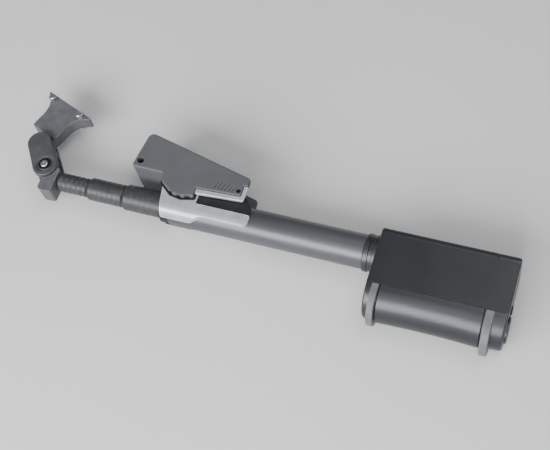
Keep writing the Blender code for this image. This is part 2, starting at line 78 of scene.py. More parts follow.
def surface(name, low, high, metallic, rough, grain, relief, blotch=9.0, stretch=(1, 1, 1),
            swing=0.06, rub_and_highlight_tone=None, rub_and_highlight_width=0.7, rub_and_highlight_strength=0.75, coat=0.0, scuffs=0.0):
    """A finish whose tone drifts between low and high over blotches, with a fine grain that
    breaks up its gloss by swing and lifts its surface by relief. An edge tone, at its given
    strength, lightens its edges: partly rubbing wear and partly a painted highlight on the
    rims. Scuffs are streaks that dull it.
    Grain, relief, blotch and the edge band's width are in millimetres."""
    mat = bpy.data.materials.new(name)
    mat.use_nodes = True
    tree = mat.node_tree
    shader = tree.nodes["Principled BSDF"]
    place = add(tree, "TexCoord").outputs["Object"]
    place = add(tree, "Mapping", {"Scale": stretch}, {"Vector": place}).outputs["Vector"]
    drift = add(tree, "TexNoise", {"Scale": 1 / (blotch * MM), "Detail": 4.0},
                {"Vector": place}).outputs["Fac"]
    speck = add(tree, "TexNoise", {"Scale": 1 / (grain * MM), "Detail": 2.0},
                {"Vector": place}).outputs["Fac"]
    tone = add(tree, "ValToRGB", links={"Fac": drift})
    for stop, spot, value in zip(tone.color_ramp.elements, (0.35, 0.65), (low, high)):
        stop.position, stop.color = spot, linear(value)
    colour = tone.outputs["Color"]
    # edges lightened: partly rubbing wear, partly a painted highlight on the rims
    if rub_and_highlight_tone:
        # an edge is where a rounded-off normal leaves the face's own
        rounded_off = add(tree, "Bevel", {"samples": 4, "Radius": rub_and_highlight_width * MM})
        facing = add(tree, "VectorMath", {"operation": "DOT_PRODUCT"},
                     {0: rounded_off.outputs["Normal"],
                      1: add(tree, "NewGeometry").outputs["Normal"]})
        edge = add(tree, "MapRange", {"From Min": 0.995, "From Max": 0.9, "To Max": rub_and_highlight_strength},
                   {"Value": facing.outputs["Value"]})
        patchy = add(tree, "Math", {"operation": "MULTIPLY"},
                     {0: edge.outputs["Result"], 1: drift})
        colour = add(tree, "Mix", {"data_type": "RGBA", 7: linear(rub_and_highlight_tone)},
                     {0: patchy.outputs["Value"], 6: colour}).outputs[2]
    gloss = add(tree, "MapRange", {"To Min": rough - swing, "To Max": rough + swing},
                {"Value": speck}).outputs["Result"]
    if scuffs:
        # streaks 2 mm wide and 17 mm long, and longer where stretch draws the finish out
        drawn_out = add(tree, "Mapping", {"Scale": (1, 9, 9)}, {"Vector": place})
        streak = add(tree, "TexNoise", {"Scale": 60.0, "Detail": 6.0, "Distortion": 1.5},
                     {"Vector": drawn_out.outputs["Vector"]}).outputs["Fac"]
        worn = add(tree, "MapRange", {"From Min": 0.62, "From Max": 0.7, "To Max": scuffs},
                   {"Value": streak}).outputs["Result"]
        gloss = add(tree, "Math", {"operation": "ADD"}, {0: gloss, 1: worn}).outputs["Value"]
    bump = add(tree, "Bump", {"Strength": 1.0, "Distance": relief * MM}, {"Height": speck})
    tree.links.new(colour, shader.inputs["Base Color"])
    tree.links.new(gloss, shader.inputs["Roughness"])
    tree.links.new(bump.outputs["Normal"], shader.inputs["Normal"])
    shader.inputs["Metallic"].default_value = metallic
    shader.inputs["Coat Weight"].default_value = coat
    return mat


# The real grain is too fine to show: about 0.1 mm where blasted or turned, and 0.2 mm where
# moulded. Each finish draws it at 0.5 to 2 mm.

# aluminium tube, bead-blasted and anodised: a soft broad highlight and faint lines along the
# draw; the thick dyed oxide scatters much of the light, so it looks only partly metallic
tube_anodised = surface("anodised_aluminium_blasted", "#595a5e", "#64656a", 0.62, 0.38, 0.9, 0.012,
                        blotch=12, stretch=(0.12, 1, 1), scuffs=0.10)
# extruded aluminium, black anodised: near black where it mirrors the room, a broad clean band of
# light along the round nose, and fine die lines along its length
housing_anodised = surface("anodised_aluminium_extruded", "#45474a", "#4d4f52", 0.90, 0.37, 0.7,
                           0.010, blotch=16, stretch=(0.08, 1, 1), rub_and_highlight_tone="#8a8c8f", scuffs=0.08)
# injection-moulded glass-filled nylon: dull, slightly mottled, lighter on the ridges, partly
# rubbed and partly a painted highlight
collar_nylon = surface("glass_filled_nylon_collar", "#2f3033", "#393a3d", 0.0, 0.40, 1.2, 0.05,
                       blotch=5, rub_and_highlight_tone="#8f9093", rub_and_highlight_width=0.6)
# the same nylon from a spark-eroded mould: matt and evenly grained, pale on its corners, partly
# rubbed and partly a painted highlight
grip_nylon = surface("glass_filled_nylon_grip", "#4d5053", "#535659", 0.0, 0.56, 1.7, 0.16,
                     swing=0.1, rub_and_highlight_tone="#85868a", blotch=30)
# the same grain on the swivel head: its link is moulded darker than the plate it carries
link_nylon = surface("glass_filled_nylon_link", "#3d3e41", "#47484b", 0.0, 0.5, 1.7, 0.12,
                     rub_and_highlight_tone="#7c7d80")
plate_nylon = surface("glass_filled_nylon_plate", "#505155", "#5b5c60", 0.0, 0.52, 2.0, 0.20,
                      swing=0.1, rub_and_highlight_tone="#8c8d90", blotch=6)
# moulded thermoplastic elastomer of the two bumper bands: paler, dull, slightly dusty
bumper_elastomer = surface("elastomer_grey", "#5e6063", "#6a6c6f", 0.0, 0.52, 1.2, 0.06,
                           rub_and_highlight_tone="#96989a", blotch=7)
# polycarbonate film, left blank: near black and satin, without the metal's mirrored room
label_film = surface("polycarbonate_film", "#1a1c1f", "#202326", 0.0, 0.36, 1.4, 0.02, blotch=26,
                     scuffs=0.15)
# silver lacquer over a die casting: light, a little metallic flake, softly glossy; its edges are
# painted near white, a painted highlight along the rims of the saddle and the trim
silver_lacquer = surface("silver_lacquer", "#aeb1b4", "#c0c3c6", 0.40, 0.34, 0.9, 0.02,
                         coat=0.25, rub_and_highlight_tone="#f2f3f4", rub_and_highlight_width=1.2, rub_and_highlight_strength=1.8)
# turned stainless steel: bright, fine tool marks break the reflection
stainless = surface("stainless_turned", "#b4b4b5", "#c6c6c7", 1.0, 0.28, 0.5, 0.01)
# black-oxide steel of the sunk screws, the hinge pin and the pivot washer, a dark spot with a
# faint glint: partly their own dark finish and partly painted shade for the sink of the butt
# screw, the recess at the hinge pin and the ring round the pivot screw
black_oxide_and_painted_shade = surface("black_oxide_steel_and_painted_shade", "#252527", "#2e2e31", 0.8, 0.50, 0.6, 0.01)
# moulded acetal, black and natural: waxy, plain. The black also serves as painted shade: all of
# the strip under the grip's nose, and in part the hinge bracket, darkened for the shadow beside
# the trim
acetal_black_and_painted_shade = surface("acetal_black_and_painted_shade", "#0f1012", "#16171a", 0.0, 0.48, 0.8, 0.03,
                       rub_and_highlight_tone="#2c2d30")
acetal_white = surface("acetal_natural", "#c9c8c2", "#d6d5cf", 0.0, 0.5, 0.8, 0.02)
# solder mask over copper: glossy green with a faint mottling of tracks
board_mask = surface("board_solder_mask", "#123f22", "#1b5530", 0.0, 0.35, 1.0, 0.03, blotch=3)
# heat-shrunk PVC sleeve on the cells: smooth, faintly wrinkled
cell_wrap = surface("cell_shrink_wrap", "#2a2d31", "#34383d", 0.0, 0.4, 1.5, 0.03)


# ---- making pieces ----------------------------------------------------------------------------
def rounded(corners, steps=6):
    """Closed outline: each corner is (x, y) or (x, y, radius)."""
    points = []
    for i, corner in enumerate(corners):
        here = Vector(corner[:2])
        if len(corner) < 3:
            points.append(here)
            continue
        before = (Vector(corners[i - 1][:2]) - here).normalized()
        after = (Vector(corners[(i + 1) % len(corners)][:2]) - here).normalized()
        half = before.angle(after) / 2
        centre = here + (before + after).normalized() * corner[2] / sin(half)
        start = here + before * corner[2] / tan(half) - centre
        turn = start.angle_signed(here + after * corner[2] / tan(half) - centre)
        for k in range(steps + 1):
            points.append(centre + Matrix.Rotation(-turn * k / steps, 2) @ start)
    return [tuple(p) for p in points]


def capsule(p, q, r_p, r_q, steps=20):
    """Outline around two circles, p first."""
    p, q = Vector(p), Vector(q)
    heading = atan2(q.y - p.y, q.x - p.x)
    spread = pi / 2 + (r_q - r_p) / (q - p).length
    points = []
    for centre, radius, mid, half in ((p, r_p, heading + pi, pi - spread),
                                      (q, r_q, heading, spread)):
        for k in range(steps + 1):
            turn = mid - half + 2 * half * k / steps
            points.append((centre.x + radius * cos(turn), centre.y + radius * sin(turn)))
    return points


def slab(outline, z0, z1, top=0.0, bottom=0.0):
    """A flat outline raised from z0 to z1, its rims rounded by top and bottom."""
    bm = bmesh.new()
    face = bm.faces.new([bm.verts.new((x, y, z0)) for x, y in outline])
    raised = bmesh.ops.extrude_face_region(bm, geom=[face])["geom"]
    bmesh.ops.translate(bm, vec=(0, 0, z1 - z0),
                        verts=[v for v in raised if isinstance(v, bmesh.types.BMVert)])
    bmesh.ops.recalc_face_normals(bm, faces=bm.faces)
    for z, width in ((z0, bottom), (z1, top)):
        if width:
            rim = [e for e in bm.edges if all(abs(v.co.z - z) < 1e-4 for v in e.verts)]
            bmesh.ops.bevel(bm, geom=rim, offset=width, affect="EDGES", segments=4,
                            profile=0.5, material=-1, clamp_overlap=True)
    return bm


def turned(profile, at=(0, 0, 0), along="X", steps=ROUND, closed=False):
    """Profile of (distance, radius) points, spun about X or Z through at."""
    bm = bmesh.new()
    at = Vector(at)
    verts = [bm.verts.new(at + (Vector((s, r, 0)) if along == "X" else Vector((r, 0, s))))
             for s, r in profile]
    pairs = list(zip(verts, verts[1:] + verts[:1])) if closed else list(zip(verts, verts[1:]))
    edges = [bm.edges.new(pair) for pair in pairs]
    bmesh.ops.spin(bm, geom=verts + edges, cent=at, axis=(1, 0, 0) if along == "X" else (0, 0, 1),
                   angle=2 * pi, steps=steps, use_merge=True)
    bmesh.ops.remove_doubles(bm, verts=bm.verts, dist=1e-4)
    bmesh.ops.recalc_face_normals(bm, faces=bm.faces)
    return bm


def brick(lo, hi, rim=0.0):
    """A block between two corners."""
    lo, hi = Vector(lo), Vector(hi)
    bm = bmesh.new()
    bmesh.ops.create_cube(bm, size=1.0, matrix=Matrix.Translation((lo + hi) / 2)
                          @ Matrix.Diagonal((*(hi - lo), 1)))
    if rim:
        bmesh.ops.bevel(bm, geom=bm.edges[:], offset=rim, affect="EDGES", segments=3,
                        profile=0.5, material=-1, clamp_overlap=True)
    return bm


def rod(s0, s1, radius, at=(0, 0, 0), along="X", steps=ROUND):
    """A round bar from s0 to s1 on a line through at."""
    return turned([(s0, 0), (s0, radius), (s1, radius), (s1, 0)], at, along, steps)


def join(bm, other):
    """Adds a loose body to the same piece."""
    mesh = bpy.data.meshes.new("joined")
    other.to_mesh(mesh)
    other.free()
    bm.from_mesh(mesh)
    bpy.data.meshes.remove(mesh)
    return bm


def worked(bm, *steps):
    """Cuts, adds or keeps the overlap with other bodies: steps are (operation, bmesh)."""
    spare = []

    def stand_in(body):
        mesh = bpy.data.meshes.new("work")
        body.to_mesh(mesh)
        body.free()
        ob = bpy.data.objects.new("work", mesh)
        bpy.context.scene.collection.objects.link(ob)
        spare.append(ob)
        return ob

    base = stand_in(bm)
    for operation, tool in steps:
        mod = base.modifiers.new("work", "BOOLEAN")
        mod.operation, mod.solver, mod.object = operation, "EXACT", stand_in(tool)
    depsgraph = bpy.context.evaluated_depsgraph_get()
    mesh = bpy.data.meshes.new_from_object(base.evaluated_get(depsgraph))
    out = bmesh.new()
    out.from_mesh(mesh)
    bpy.data.meshes.remove(mesh)
    for ob in spare:
        old = ob.data
        bpy.data.objects.remove(ob, do_unlink=True)
        bpy.data.meshes.remove(old)
    bmesh.ops.remove_doubles(out, verts=out.verts, dist=1e-3)
    bmesh.ops.dissolve_limit(out, angle_limit=radians(0.6), verts=out.verts, edges=out.edges)
    return out


def seat(bm, name, material, body, nodes=(), edge=0.0, sharp=32):
    """Moves a drawn piece to its place on the wand and rides it on its body. Edges past the
    angle sharp, in degrees, are rounded by edge, in millimetres, or else left sharp."""
    bmesh.ops.transform(bm, matrix=POLE, verts=bm.verts)
    mesh = bpy.data.meshes.new(name)
    bm.to_mesh(mesh)
    bm.free()
    mesh.materials.append(material)
    mesh.shade_smooth()
    ob = bpy.data.objects.new(name, mesh)
    bpy.context.scene.collection.objects.link(ob)
    if edge:
        bevel = ob.modifiers.new("edge", "BEVEL")
        bevel.width, bevel.segments = edge * MM, 3
        bevel.limit_method, bevel.angle_limit = "ANGLE", radians(sharp)
        bevel.harden_normals = True
    else:
        mesh.set_sharp_from_angle(angle=radians(sharp))
    # broad faces keep their own normals, so that they stay flat up to their rounded rims
    weigh = ob.modifiers.new("flat_faces", "WEIGHTED_NORMAL")
    weigh.keep_sharp = True
    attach(ob, body)
    for node in nodes:
        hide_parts(node)
    return ob


# ---- pole -------------------------------------------------------------------------------------
def tube_wall(x0, x1, r_out, r_in, lip=0.3):
    """Open tube with a small bevel on the four rims of its ends."""
    return turned([(x0, r_in + lip), (x0, r_out - lip), (x0 + lip, r_out), (x1 - lip, r_out),
                   (x1, r_out - lip), (x1, r_in + lip), (x1 - lip, r_in), (x0 + lip, r_in)],
                  steps=FINE, closed=True)


seat(tube_wall(-66.0, 203.2, 13.5, 11.8, 0.4), "outer_tube_skin", tube_anodised, "handle",
     ["outer_tube"])
for key, r_out, r_in, mouth, end in (
        ("a", 4.2, 3.2, -177.0, 185.0),
        ("b", 5.6, 4.6, -156.5, 189.0),
        ("c", 7.2, 6.2, -128.5, 193.0),
        ("d", 8.8, 7.8, -97.5, 197.0)):
    seat(tube_wall(mouth, end, r_out, r_in), "pole_section_" + key, tube_anodised, "stage_" + key,
         ["stage_tube_" + key])


def twist_collar(front, back, radius, bore, throat, grooves, depth):
    """Turned collar with rounded finger grooves, a bevelled shoulder at each end and a thin
    throat at its front."""
    line = [(front, throat), (front, radius - 1.5), (front + 0.5, radius - 0.9),
            (front + 1.3, radius - 0.2), (front + 2.0, radius)]
    shoulder = 2.5
    pitch = (back - front - 2 * shoulder) / grooves
    for k in range(grooves):
        middle = front + shoulder + pitch * (k + 0.5)
        line += [(middle + step, radius - depth * share) for step, share in
                 ((-1.3, 0), (-0.9, 0.25), (-0.4, 0.9), (0.4, 0.9), (0.9, 0.25), (1.3, 0))]
    line += [(back - 2.0, radius), (back - 1.3, radius - 0.2), (back - 0.5, radius - 0.9),
             (back, radius - 1.4), (back, bore), (front + 1.6, bore), (front + 1.6, throat)]
    return turned(line, steps=72, closed=True)


for number, front, back, radius, bore, throat, grooves, depth in (
        ("1", -168.0, -140.3, 7.8, 5.9, 4.5, 5, 0.6),
        ("2", -140.0, -107.8, 9.3, 7.5, 5.9, 6, 0.22),
        ("3", -107.5, -73.2, 10.6, 9.1, 7.5, 6, 0.16)):
    seat(twist_collar(front, back, radius, bore, throat, grooves, depth),
         "twist_collar_" + number, collar_nylon, "collar_" + number, ["collar_" + number])

end_band = [(93.6, TUBE_FIT), (93.6, 14.3), (94.3, 14.8), (97.6, 14.8), (98.2, 14.2),
            (100.4, 14.2), (101.0, 14.8), (103.6, 14.8), (104.1, 14.4), (104.1, TUBE_FIT)]
seat(turned(end_band, steps=FINE, closed=True), "tube_end_band", housing_anodised, "handle",
     ["tube_end_ring"])

# ---- swivel head ------------------------------------------------------------------------------
heading = Vector((PIVOT_2[0] - PIVOT_1[0], PIVOT_2[1] - PIVOT_1[1])).normalized()
plate_dir = Vector((cos(radians(PLATE_ANGLE)), sin(radians(PLATE_ANGLE))))
plate_side = Vector((plate_dir.y, -plate_dir.x))


def on_plate(along, across):
    """A spot measured from the head plate's far edge; along points away from the link."""
    spot = Vector(PLATE_MID) + plate_dir * along + plate_side * across
    return spot.x, spot.y


def on_link(along, across):
    """A spot measured from the first pivot towards the second."""
    spot = Vector(PIVOT_1) + heading * along + Vector((heading.y, -heading.x)) * across
    return spot.x, spot.y


def fork(near, far):
    """Cutter of the slot that a tongue turns in, between two distances along the link."""
    return slab([on_link(near, 16), on_link(near, -16), on_link(far, -16), on_link(far, 16)],
                -FORK, FORK)


block = slab(rounded([(-180.5, 7.5, 2), (-180.5, -14.5, 3), (-168.3, -14.5, 2),
                      (-168.3, 7.5, 2)]), -8.8, 8.8)
block = worked(block,
               ("DIFFERENCE", rod(TONGUE, 12, 11.0, (*PIVOT_1, 0), "Z")),
               ("DIFFERENCE", rod(-12, -TONGUE, 11.0, (*PIVOT_1, 0), "Z")),
               ("UNION", slab(capsule(PIVOT_1, (-177.0, 1.0), 8.7, 8.6), -TONGUE, TONGUE)),
               ("DIFFERENCE", rod(-13, 13, PIVOT_BORE, (*PIVOT_1, 0), "Z", SMALL)),
               ("DIFFERENCE", rod(-177.3, -160, 4.5, steps=SMALL)))
seat(block, "pole_end_fitting", plate_nylon, "stage_a", ["pole_end_block"], edge=0.6)

link = slab(capsule(PIVOT_1, PIVOT_2, 10.5, 10.0), -11.0, 11.0, top=0.9, bottom=0.9)
link = worked(link,
              ("DIFFERENCE", fork(-16.0, 9.2)),
              ("DIFFERENCE", fork(14.9, 36.0)),
              ("DIFFERENCE", rod(-13, 13, PIVOT_BORE, (*PIVOT_1, 0), "Z", SMALL)),
              ("DIFFERENCE", rod(-13, 9.6, PIVOT_BORE, (*PIVOT_2, 0), "Z", SMALL)),
              # ring turned into the top face round the pivot screw's washer
              ("DIFFERENCE", turned([(9.9, 5.5), (11.6, 5.3), (11.6, 7.3), (9.9, 7.0)],
                                    (*PIVOT_1, 0), "Z", 48, closed=True)))
seat(link, "swivel_link_body", link_nylon, "link", ["swivel_link"], edge=0.25)
# thin black washer under the pivot screw's head: its black is painted shade for the dark ring
# round the screw
seat(turned([(11.02, 2.6), (11.02, 5.2), (11.2, 5.3), (11.28, 5.2), (11.28, 2.6)],
            (*PIVOT_1, 0), "Z", 48, closed=True), "pivot_washer", black_oxide_and_painted_shade, "link")

# half of the fishtail's outline, from its far edge back to the link: (along, across)
flare = [(0.0, 24.7), (-1.6, 24.2), (-3.2, 22.2), (-5.0, 19.8), (-7.0, 17.8), (-9.0, 16.3),
         (-11.5, 14.9), (-14.0, 14.1), (-17.0, 13.6), (-20.0, 13.3), (-28.0, 13.5),
         (-32.2, 13.2), (-33.0, 12.0)]
outline = [on_plate(a, p) for a, p in flare] + [on_plate(a, -p) for a, p in reversed(flare)]
thumbscrews = {"left": on_plate(-4.2, -16), "right": on_plate(-4.2, 16)}
plate = slab(outline, -6.0, 6.0, top=0.7, bottom=0.7)
cuts = [("UNION", slab(capsule(PIVOT_2, on_plate(-27.0, 5.0), 7.7, 7.0), -TONGUE, TONGUE)),
        ("DIFFERENCE", rod(-13, 13, PIVOT_BORE, (*PIVOT_2, 0), "Z", SMALL))]
cuts += [("DIFFERENCE", rod(-8, 8, 2.2, (*spot, 0), "Z", SMALL)) for spot in thumbscrews.values()]
seat(worked(plate, *cuts), "fishtail_plate", plate_nylon, "head", ["head_plate"], edge=0.2)


def knurled_head(z0, z1, radius, at, teeth):
    """Cylinder whose side faces are pinched in turn, for fingers to turn."""
    bm = bmesh.new()
    bmesh.ops.create_cone(bm, cap_ends=True, segments=teeth * 2, radius1=radius, radius2=radius,
                          depth=z1 - z0,
                          matrix=Matrix.Translation((at[0], at[1], (z0 + z1) / 2)))
    rims = [e for e in bm.edges if abs(e.verts[0].co.z - e.verts[1].co.z) < 1e-4]
    bmesh.ops.bevel(bm, geom=rims, offset=0.4, affect="EDGES", segments=2, profile=0.5,
                    material=-1)
    walls = sorted((f for f in bm.faces if abs(f.normal.z) < 0.1),
                   key=lambda f: atan2(f.calc_center_median().y - at[1],
                                       f.calc_center_median().x - at[0]))
    bmesh.ops.inset_individual(bm, faces=walls[::2], thickness=0.06, depth=-0.18)
    return bm


for name, spot in thumbscrews.items():
    screw = turned([(-10.0, 0), (-10.0, 1.4), (-9.4, 1.9), (6.5, 1.9), (6.5, 0)], (*spot, 0), "Z",
                   SMALL)
    screw = join(screw, knurled_head(6.4, 10.2, 3.2, spot, 14))
    screw = join(screw, turned([(10.1, 0), (10.1, 2.6), (10.6, 2.6), (11.0, 2.2), (11.0, 0)],
                               (*spot, 0), "Z", SMALL))
    seat(screw, "thumbscrew_knurled_" + name, stainless, "thumbscrew_" + name,
         ["thumbscrew_" + name])


def button_screw(z_tip, z_seat, shank, head, rise, at):
    """Screw with a domed head and a hexagon socket; rise is negative for one set from below."""
    way = 1 if rise > 0 else -1
    dome = [(z_seat, head), (z_seat + rise * 0.45, head * 0.97), (z_seat + rise * 0.8, head * 0.8),
            (z_seat + rise, head * 0.55), (z_seat + rise, 0)]
    bm = turned([(z_tip, 0), (z_tip, shank * 0.8), (z_tip + way * 0.5, shank), (z_seat, shank)]
                + dome, at, "Z", SMALL)
    low, high = sorted((z_seat + rise * 0.3, z_seat + rise * 1.5))
    return worked(bm, ("DIFFERENCE", rod(low, high, head * 0.42, at, "Z", 6)))


seat(button_screw(-14.0, 11.3, 2.1, 3.2, 1.4, (*PIVOT_1, 0)), "pivot_screw_top", stainless, "link",
     ["pivot_screw_1"])
seat(button_screw(9.2, -11.3, 2.1, 3.8, -1.6, (*PIVOT_2, 0)), "pivot_screw_under", stainless,
     "head", ["pivot_screw_2"])
nut = turned([(-13.6, 2.8), (-13.6, 4.1), (-13.3, 4.4), (-11.6, 4.4), (-11.3, 4.1), (-11.3, 2.8)],
             (*PIVOT_1, 0), "Z", 6, closed=True)
seat(nut, "pivot_nut_hex", stainless, "link", ["pivot_nut_1"])

# ---- saddle and bracket -----------------------------------------------------------------------
saddle = slab(rounded([(-76.4, 15.5), (-70.9, -13.0), (-47.0, -13.0, 7), (-37.0, -8.6, 9),
                       (1.6, -8.6, 4), (1.6, 0.8, 2), (-44.0, 0.8), (-44.0, 15.5)], 8),
              -15.5, 15.5)
# its cross-section, drawn flat and then turned up to run along the pole
section = slab(rounded([(-13.0, -15.5, 9), (15.5, -15.5, 5), (15.5, 15.5, 5),
                        (-13.0, 15.5, 9)], 12), -90, 20)
bmesh.ops.rotate(section, cent=(0, 0, 0), verts=section.verts,
                 matrix=Matrix.Rotation(pi / 2, 3, "Z") @ Matrix.Rotation(pi / 2, 3, "X"))
saddle = worked(saddle, ("INTERSECT", section),
                ("DIFFERENCE", rod(-90, 20, TUBE_FIT, steps=FINE)),
                # opening along the front, where the tube shows
                ("DIFFERENCE", brick((-90, -20, -6.0), (20, -5, 6.0))))
seat(saddle, "saddle_casting", silver_lacquer, "handle", ["saddle"], edge=0.3)

# near-black bracket: partly its own colour and partly painted shade for the dark beside the trim
bracket = slab(rounded([(-43.7, 15.9), (-43.7, 1.1), (0.4, 1.1, 1.5), (0.4, 8.0, 3),
                        (-6.5, 15.0, 3), (-8.0, 21.8, 4), (-17.3, 21.8, 4),
                        (-19.0, 15.9, 3)]), -15.2, 15.2)
bracket = worked(bracket, ("DIFFERENCE", rod(-90, 20, TUBE_FIT, steps=FINE)),
                 ("DIFFERENCE", brick((-22, -5, -13.85), (5, 25, 13.85))),
                 ("DIFFERENCE", rod(-18, 18, 1.9, (*GRIP_PIVOT, 0), "Z", SMALL)))
seat(bracket, "hinge_bracket_arms", acetal_black_and_painted_shade, "handle", ["hinge_bracket"], edge=0.25)
# hinge pin in blackened steel: partly its own finish and partly painted shade for the dark recess
# beside the trim
seat(turned([(-19.3, 0), (-19.3, 1.3), (-19.0, 1.6), (19.0, 1.6), (19.3, 1.3), (19.3, 0)],
            (*GRIP_PIVOT, 0), "Z", SMALL), "grip_hinge_pin", black_oxide_and_painted_shade, "handle",
     ["grip_pivot_pin"])

# ---- grip -------------------------------------------------------------------------------------
# outlines: side cheek, hollow body and its pocket, silver trim, and a thin black strip under the
# nose, painted shade for the dark gap there
CHEEK = rounded([(-101.4, 53.0, 5), (-105.7, 19.1, 3), (-78.2, 19.0, 1.5), (-76.6, 12.0, 3),
                 (-65.5, 3.6, 5), (-57.0, 2.4, 6), (-46.6, 4.6, 1.5), (-46.6, 12.0),
                 (-9.8, 13.6), (-9.8, 22.6), (-6.6, 23.2), (-6.9, 30.2, 3)])
BODY = rounded([(-101.4, 53.0, 5), (-105.7, 19.1, 3), (-18.0, 19.1, 1), (-18.0, 32.9)])
POCKET = [(-99.5, 50.2), (-103.2, 21.4), (-20.2, 21.4), (-20.2, 31.1)]
TRIM = rounded([(-46.3, 7.5, 1), (-6.5, 9.9, 2), (-6.5, 22.6), (-9.5, 22.2),
                (-9.5, 13.1), (-46.3, 11.6)])
SKIRT = rounded([(-78.0, 17.0), (-78.0, 11.3, 3), (-66.8, 2.3, 5), (-57.0, 0.7, 6),
                 (-45.2, 3.3, 1.5), (-45.2, 11.0)])


def grip_half(half):
    """One moulding of the grip, hollow and open at the middle, with its trim and its thin black
    strip of painted shade under the nose.
    """
    upper = half == "upper"

    def span(z0, z1):
        return (z0, z1) if upper else (-z1, -z0)

    cheek = slab(CHEEK, *span(16.3, FACE_Z), top=1.6 if upper else 0, bottom=0 if upper else 1.6)
    slot_low, slot_high = span(-1, 5.4)
    cuts = [("UNION", slab(BODY, *span(0.15, 16.9))),
            ("DIFFERENCE", slab(POCKET, *span(-1.0, 17.6))),
            # boss and bore of the butt screw, bore of the hinge pin, slot of the trigger
            ("UNION", rod(*span(0.15, 18.0), 4.6, (*GRIP_SCREW, 0), "Z", 40)),
            ("DIFFERENCE", rod(*span(-2, 14.0), 1.8, (*GRIP_SCREW, 0), "Z", SMALL)),
            ("DIFFERENCE", rod(*span(10, 21), 1.9, (*GRIP_PIVOT, 0), "Z", SMALL)),
            ("DIFFERENCE", brick((-43.6, 17, slot_low), (-20.6, 22.5, slot_high)))]
    if upper:
        # sink for the butt screw's head
        cuts.append(("DIFFERENCE", rod(13.9, 21, 2.9, (*GRIP_SCREW, 0), "Z", 40)))
    # six slanted thumb grooves beside the hinge
    for k in range(6):
        x, far = -33.0 + 2.9 * k, 22.8 - 0.5 * k
        cuts.append(("DIFFERENCE", slab([(x, 15.2), (x + 1.5, 15.2), (x + 3.7, far),
                                         (x + 2.2, far)], *span(18.8, 21))))
    # scalloped edge of the nose
    for x, y, radius in ((-67.6, 2.0, 3.9), (-59.2, 0.3, 3.6), (-51.2, 1.2, 3.6)):
        cuts.append(("DIFFERENCE", rod(*span(15.5, 20), radius, (x, y, 0), "Z", 40)))
    seat(worked(cheek, *cuts), "grip_moulding_" + half, grip_nylon, "grip",
         ["grip_shell_" + half], edge=0.3)
    # black strip just proud of the nose's edge: painted shade for the dark gap between the nose
    # and the saddle
    seat(slab(SKIRT, *span(15.7, 16.2)), "nose_painted_shade_strip_" + half, acetal_black_and_painted_shade, "grip")
    seat(slab(TRIM, *span(16.3, 19.3), top=0.5, bottom=0.5), "grip_edge_trim_" + half,
         silver_lacquer, "grip", ["grip_trim_" + half], sharp=40)


grip_half("upper")
grip_half("lower")

# butt screw in blackened steel: partly its own finish and partly painted shade for the dark sink
# it sits in
seat(button_screw(-12.5, 14.3, 1.5, 2.6, 1.8, (*GRIP_SCREW, 0)), "grip_butt_screw", black_oxide_and_painted_shade,
     "grip", ["grip_screw"])
trigger = slab(rounded([(-42.6, 16.5, 1.5), (-21.4, 16.5, 1.5), (-21.2, 28.2, 2.4),
                        (-27.0, 28.2, 2.4), (-28.6, 22.4, 2), (-41.9, 22.0, 1.5)]), -4.9, 4.9,
               top=1.2, bottom=1.2)
seat(worked(trigger, ("DIFFERENCE", rod(-6, 6, 1.5, (*TRIGGER_PIN, 0), "Z", SMALL))),
     "trigger_lever", acetal_black_and_painted_shade, "trigger", ["trigger"], edge=0.15)


# ---- housing ----------------------------------------------------------------------------------
def d_ring(x, front, inset=0.0, nose_steps=36, corner_steps=8):
    """One D-shaped section: round nose towards -Y, small corners towards +Y."""
    half, back, corner = FACE_Z - inset, 15.8 - inset, 5.0 - inset
    ring = []
    for k in range(nose_steps + 1):
        turn = pi / 2 + pi * k / nose_steps
        ring.append((x, front + FACE_Z + half * cos(turn), half * sin(turn)))
    for side in (-1, 1):
        for k in range(corner_steps + 1):
            share = (k if side < 0 else corner_steps - k) / corner_steps
            turn = side * pi / 2 * (1 - share)
            ring.append((x, back - corner + corner * cos(turn),
                         side * (half - corner) + corner * sin(turn)))
    return ring


def drawn(rings, closed=True):
    """Bridges each section to the next. Closed joins the last to the first, and otherwise both
    ends are capped."""
    bm = bmesh.new()
    loops = []
    for ring in rings:
        verts = [bm.verts.new(p) for p in ring]
        loops.append([bm.edges.new(pair) for pair in zip(verts, verts[1:] + verts[:1])])
    for near, far in zip(loops, loops[1:] + (loops[:1] if closed else [])):
        bmesh.ops.bridge_loops(bm, edges=near + far)
    if not closed:
        for loop in (loops[0], loops[-1]):
            bmesh.ops.contextual_create(bm, geom=loop)
    bmesh.ops.recalc_face_normals(bm, faces=bm.faces)
    return bm


def d_bar(x0, x1, front, inset):
    """Solid D-shaped bar, as a cutter."""
    return drawn([d_ring(x, front, inset) for x in (x0, x1)], closed=False)


def waist(x):
    """Front of the middle section's nose, a little fuller at both ends than in the middle."""
    t = (x - 153.5) / 38.5
    return -51.6 - t * t


